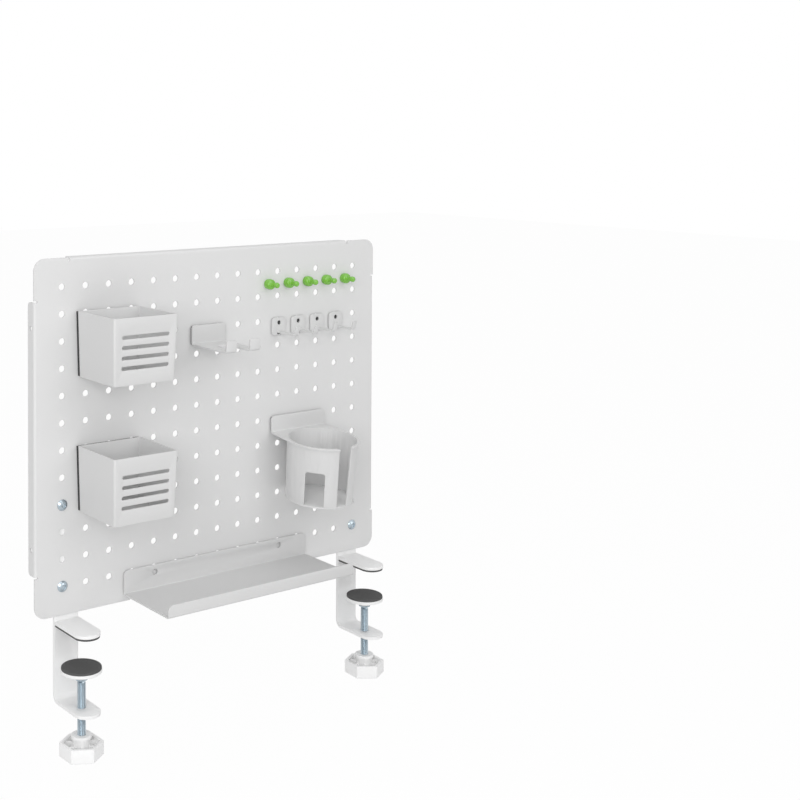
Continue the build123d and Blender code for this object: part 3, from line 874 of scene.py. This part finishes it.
@dataclass
class Fasteners:
    """Button-head screws, washers and nuts that hold the brackets behind the board.

    `socket_mouth` and `nut_chamfer` are radii, counted in half flats. `nut_cone` is the height of the
    cone that cuts the nut's corners, over its width. `socket_floor` lists the socket's lowest rings,
    each with its share of the hexagon and its height over the floor.
    """

    head_radius: float = 5.25 * MM
    head_height: float = 3.3 * MM
    head_rim: float = 0.8 * MM
    head_round: float = 0.15 * MM
    head_sides: int = 48
    dome_steps: int = 9
    socket_flats: float = 4.0 * MM
    socket_depth: float = 2.0 * MM
    socket_mouth: float = 1.18
    socket_chamfer: float = 0.1 * MM
    socket_floor: tuple[tuple[float, float], ...] = ((0.98, 0.1 * MM), (0.9, 0.0), (0.4, -0.15 * MM))
    shank_radius: float = 3.0 * MM
    shank_tip: float = 0.5 * MM
    pitch: float = 1.0 * MM
    thread_depth: float = 0.55 * MM
    rows_per_turn: int = 6
    shank_sides: int = 32
    nut_flats: float = 10.0 * MM
    nut_chamfer: float = 1.03
    nut_cone: float = 0.55
    nut_sides: int = 72
    bore_spare: float = 0.02 * MM
    bore_flare: float = 0.35 * MM
    washer_radius: float = 6.0 * MM
    washer_bore: float = 3.175 * MM
    washer_round: float = 0.25 * MM
    washer_sides: int = 64

    def build(self, shop: Workshop) -> None:
        """Build the three groups, at the places that their CAD nodes give.

        Args:
            shop: Where the pieces go.
        """
        low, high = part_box("bracket_screws")
        washer_low, washer_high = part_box("bracket_washers")
        nut_low, nut_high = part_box("bracket_nuts")
        across = (washer_high.x - washer_low.x) / 2 - self.washer_radius
        levels = (washer_low.z + self.washer_radius, washer_high.z - self.washer_radius)
        places = [(side * across, 0.0, level) for side in (-1, 1) for level in levels]
        screw = self._screw(-low.y, high.y)
        washer = self._washer(washer_low.y, washer_high.y)
        nut = self._nut(nut_low.y, nut_high.y)
        for node, part in (("bracket_screws", screw), ("bracket_washers", washer), ("bracket_nuts", nut)):
            group = part.placed(OUTWARD, places[0])
            for place in places[1:]:
                group = group + part.placed(OUTWARD, place)
            shop.stand_in(group.piece(f"{node}_plated"), node)

    def _screw(self, reach: float, rear: float) -> Shell:
        """Screw with its head towards +Z: domed head with a hexagon socket, and a threaded shank.

        The head is one grid. Its rings go up the rim, over the dome, and down into the socket, where
        their radius is the hexagon's.

        Args:
            reach: Height of the head above the board's face.
            rear: Depth of the shank's end behind it.

        Returns:
            The surface.
        """
        angle = np.linspace(0, FULL_TURN, self.head_sides, endpoint=False)
        dome = self.head_height - self.head_rim
        ball = (self.head_radius**2 + dome**2) / (2 * dome)
        mouth = self.socket_flats / 2 * self.socket_mouth
        dome_radius = np.linspace(self.head_radius, mouth, self.dome_steps)
        dome_height = reach - ball + np.sqrt(ball**2 - dome_radius**2)
        rings = [(np.full_like(angle, self.head_radius - self.head_round), 0.0)]
        rings += [(np.full_like(angle, self.head_radius), self.head_round)]
        rings += [(np.full_like(angle, r), h) for r, h in zip(dome_radius, dome_height)]
        hexagon = hexagon_reach(angle, self.socket_flats, self.socket_flats)
        floor = reach - self.socket_depth
        rings += [(hexagon, dome_height[-1] - self.socket_chamfer)]
        rings += [(hexagon * share, floor + rise) for share, rise in self.socket_floor]
        head = grid_shell(ring_rows(angle, rings), True, True)
        tip = self.shank_tip
        bar = np.arange(-rear + tip, 0, self.pitch / self.rows_per_turn)
        profile = np.vstack(
            (
                (self.shank_radius - tip, -rear),
                np.stack((np.full_like(bar, self.shank_radius), bar), axis=-1),
                (self.shank_radius, 0.0),
            )
        )
        thread_top = -2 * self.head_rim
        return head + threaded(
            profile, self.pitch, self.thread_depth, -rear - self.pitch, thread_top, self.shank_sides
        )

    def _washer(self, front: float, rear: float) -> Shell:
        """Washer between two depths, a rounded section turned about its axis.

        Args:
            front: Depth of its front face.
            rear: Depth of its rear face.

        Returns:
            The surface.
        """
        soft = self.washer_round
        middle = (self.washer_radius + self.washer_bore) / 2
        corners = [
            (middle, -rear, 0),
            (self.washer_radius, -rear, soft),
            (self.washer_radius, -front, soft),
            (self.washer_bore, -front, soft),
            (self.washer_bore, -rear, soft),
            (middle, -rear, 0),
        ]
        return lathe(eased(corners, steps=4)[:-1], self.washer_sides, poles=False)

    def _nut(self, front: float, rear: float) -> Shell:
        """Hexagon nut between two depths.

        Its outside is the hexagon, cut back near both faces by a cone: the smaller of the two radii.

        Args:
            front: Depth of its front face.
            rear: Depth of its rear face.

        Returns:
            The surface.
        """
        angle = np.linspace(0, FULL_TURN, self.nut_sides, endpoint=False)
        chamfer = self.nut_flats / 2 * self.nut_chamfer
        tall = self.nut_flats / math.sqrt(3)
        slope = (tall - chamfer) * self.nut_cone
        bore = np.full_like(angle, self.shank_radius + self.bore_spare)
        flare = np.full_like(angle, self.shank_radius + self.bore_flare)
        sections = (
            (flare, -rear),
            (hexagon_reach(angle, self.nut_flats, chamfer), -rear),
            (hexagon_reach(angle, self.nut_flats, tall), -rear + slope),
            (hexagon_reach(angle, self.nut_flats, tall), -front - slope),
            (hexagon_reach(angle, self.nut_flats, chamfer), -front),
            (flare, -front),
            (bore, -front - self.bore_flare),
            (bore, -rear + self.bore_flare),
        )
        return grid_shell(ring_rows(angle, sections), False, False)


@dataclass
class PushPins:
    """Glossy pins with a drum, a waist and a small head, and a pocket in the drum for its magnet."""

    count: int = 5
    pocket: float = 4.0 * MM
    pocket_depth: float = 2.5 * MM
    pocket_round: float = 0.1 * MM
    foot_inset: float = 0.25 * MM
    foot_round: float = 0.4 * MM
    drum_belly: float = 3.2 * MM
    belly_round: float = 3.0 * MM
    drum_length: float = 7.0 * MM
    drum_inset: float = 0.5 * MM
    drum_round: float = 2.0 * MM
    waist: float = 2.2 * MM
    waist_rise: float = 0.3 * MM
    waist_foot_round: float = 0.9 * MM
    waist_end: float = 10.6 * MM
    waist_end_round: float = 2.0 * MM
    head: float = 2.9 * MM
    head_start: float = 13.4 * MM
    head_start_round: float = 2.2 * MM
    head_tip_round: float = 1.9 * MM
    sides: int = 64
    arc_steps: int = 9

    def build(self, shop: Workshop) -> None:
        """Build the pins out of one turned profile.

        Args:
            shop: Where the pieces go.
        """
        for number in range(1, self.count + 1):
            node = f"pin_{number}"
            low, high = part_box(node)
            radius = (high.x - low.x) / 2
            length = -low.y
            at = ((low.x + high.x) / 2, 0.0, (low.z + high.z) / 2)
            made = lathe(self._profile(radius, length), self.sides).placed(OUTWARD, at)
            shop.stand_in(made.piece(f"{node}_moulding", crease=40), node)

    def _profile(self, radius: float, length: float) -> np.ndarray:
        """Profile from the pocket in the rear, round the drum and the waist, to the head's tip.

        Args:
            radius: The drum's radius.
            length: The pin's length.

        Returns:
            Radius and height of each point.
        """
        return eased(
            [
                (0, self.pocket_depth, 0),
                (self.pocket, self.pocket_depth, 0),
                (self.pocket, 0, self.pocket_round),
                (radius - self.foot_inset, 0, self.foot_round),
                (radius, self.drum_belly, self.belly_round),
                (radius - self.drum_inset, self.drum_length, self.drum_round),
                (self.waist, self.drum_length + self.waist_rise, self.waist_foot_round),
                (self.waist, self.waist_end, self.waist_end_round),
                (self.head, self.head_start, self.head_start_round),
                (self.head, length, self.head_tip_round),
                (0, length, 0),
            ],
            self.arc_steps,
        )


# ------------------------------------------------------------------ studio


@dataclass
class Studio:
    """Pale floor, even light, and a camera fitted to the photograph."""

    level: float = 0.49
    key_power: float = 5.0
    fill_power: float = 13.0
    top_power: float = 4.0
    key_at: tuple[float, float, float] = (0.5, -1.6, 0.9)
    fill_at: tuple[float, float, float] = (-1.3, -1.2, 0.7)
    top_at: tuple[float, float, float] = (-0.2, -0.3, 1.5)
    front_size: float = 1.0
    top_size: float = 1.2
    aim_height: float = 0.15
    floor_gap: float = 0.026
    floor_half: float = 6.0
    floor_shade: float = 0.9
    floor_roughness: float = 0.9
    floor_whiteness: float = 0.97
    camera_at: tuple[float, float, float] = (-0.7860, -1.0870, 0.4637)
    yaw: float = 33.292
    pitch: float = 1.451
    sensor: float = 36.0
    lens: float = 60.588
    nearest: float = 0.01
    shift: tuple[float, float] = (0.30344, -0.29775)

    def build(self) -> None:
        """Build the light, the floor and the camera."""
        self._world()
        self._lamp("key", self.key_at, self.front_size, self.key_power)
        self._lamp("fill", self.fill_at, self.front_size, self.fill_power)
        self._lamp("top", self.top_at, self.top_size, self.top_power)
        self._floor()
        self._camera()
        bpy.context.scene.view_settings.view_transform = "Standard"

    def _world(self) -> None:
        """Even light from all round, seen as white by the camera, by metal and by glass."""
        world = bpy.data.worlds.new("studio")
        world.use_nodes = True
        bpy.context.scene.world = world
        tree = world.node_tree
        even = tree.nodes["Background"]
        even.inputs["Color"].default_value = (1, 1, 1, 1)
        even.inputs["Strength"].default_value = self.level
        white = tree.nodes.new("ShaderNodeBackground")
        white.inputs["Color"].default_value = (1, 1, 1, 1)
        mix = tree.nodes.new("ShaderNodeMixShader")
        tree.links.new(self._seen(tree), mix.inputs["Fac"])
        tree.links.new(even.outputs[0], mix.inputs[1])
        tree.links.new(white.outputs[0], mix.inputs[2])
        tree.links.new(mix.outputs[0], tree.nodes["World Output"].inputs["Surface"])

    @staticmethod
    def _seen(tree: bpy.types.NodeTree) -> bpy.types.NodeSocket:
        """Tell the rays that look from those that only gather light.

        Args:
            tree: The tree it goes into.

        Returns:
            1 where the camera, a reflection or glass looks, and 0 elsewhere.
        """
        path = tree.nodes.new("ShaderNodeLightPath")
        glossy = maths(tree, "MAXIMUM", path.outputs["Is Camera Ray"], path.outputs["Is Glossy Ray"])
        return maths(tree, "MAXIMUM", glossy, path.outputs["Is Transmission Ray"])

    def _lamp(self, name: str, at: tuple[float, float, float], size: float, power: float) -> None:
        """Square soft lamp that looks at the middle of the board.

        Args:
            name: The lamp's name.
            at: Where it stands.
            size: Its side.
            power: Its power, in watts.
        """
        light = bpy.data.lights.new(name, "AREA")
        light.size = size
        light.energy = power
        lamp = bpy.data.objects.new(name, light)
        lamp.location = at
        aim = np.array((0.0, 0.0, self.aim_height)) - np.array(at)
        flat = math.hypot(aim[0], aim[1])
        lamp.rotation_euler = (math.atan2(flat, -aim[2]), 0, math.atan2(-aim[0], aim[1]))
        bpy.context.scene.collection.objects.link(lamp)

    def _floor(self) -> None:
        """Pale floor, below the knobs' lowest place: it keeps the shadow and looks nearly white."""
        low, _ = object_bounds()
        half = self.floor_half
        corners = [(-half, -half), (half, -half), (half, half), (-half, half)]
        mesh = bpy.data.meshes.new("floor")
        mesh.from_pydata([(x, y, low[2] - self.floor_gap) for x, y in corners], [], [(0, 1, 2, 3)])
        floor = bpy.data.objects.new("floor", mesh)
        bpy.context.scene.collection.objects.link(floor)
        material = bpy.data.materials.new("floor")
        material.use_nodes = True
        tree = material.node_tree
        shader = tree.nodes["Principled BSDF"]
        shade = self.floor_shade
        shader.inputs["Base Color"].default_value = (shade, shade, shade, 1)
        shader.inputs["Roughness"].default_value = self.floor_roughness
        white = tree.nodes.new("ShaderNodeEmission")
        mix = tree.nodes.new("ShaderNodeMixShader")
        tree.links.new(maths(tree, "MULTIPLY", self._seen(tree), self.floor_whiteness), mix.inputs["Fac"])
        tree.links.new(shader.outputs[0], mix.inputs[1])
        tree.links.new(white.outputs[0], mix.inputs[2])
        tree.links.new(mix.outputs[0], tree.nodes["Material Output"].inputs["Surface"])
        mesh.materials.append(material)
        floor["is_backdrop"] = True

    def _camera(self) -> None:
        """Camera fitted to the peg holes."""
        lens = bpy.data.cameras.new("camera")
        lens.sensor_width = self.sensor
        lens.lens = self.lens
        lens.shift_x, lens.shift_y = self.shift
        lens.clip_start = self.nearest
        camera = bpy.data.objects.new("camera", lens)
        camera.location = self.camera_at
        camera.rotation_euler = (math.radians(90 - self.pitch), 0, math.radians(-self.yaw))
        bpy.context.scene.collection.objects.link(camera)
        bpy.context.scene.camera = camera


def main() -> None:
    """Load the frame, dress it and light it."""
    logging.basicConfig(level=logging.INFO, format="%(message)s")
    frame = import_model()
    shop = Workshop(frame)
    SheetMetal().build(shop)
    for side in ("left", "right"):
        Clamp(side).build(shop)
    Fasteners().build(shop)
    PushPins().build(shop)
    Studio().build()


if __name__ == "__main__":
    main()
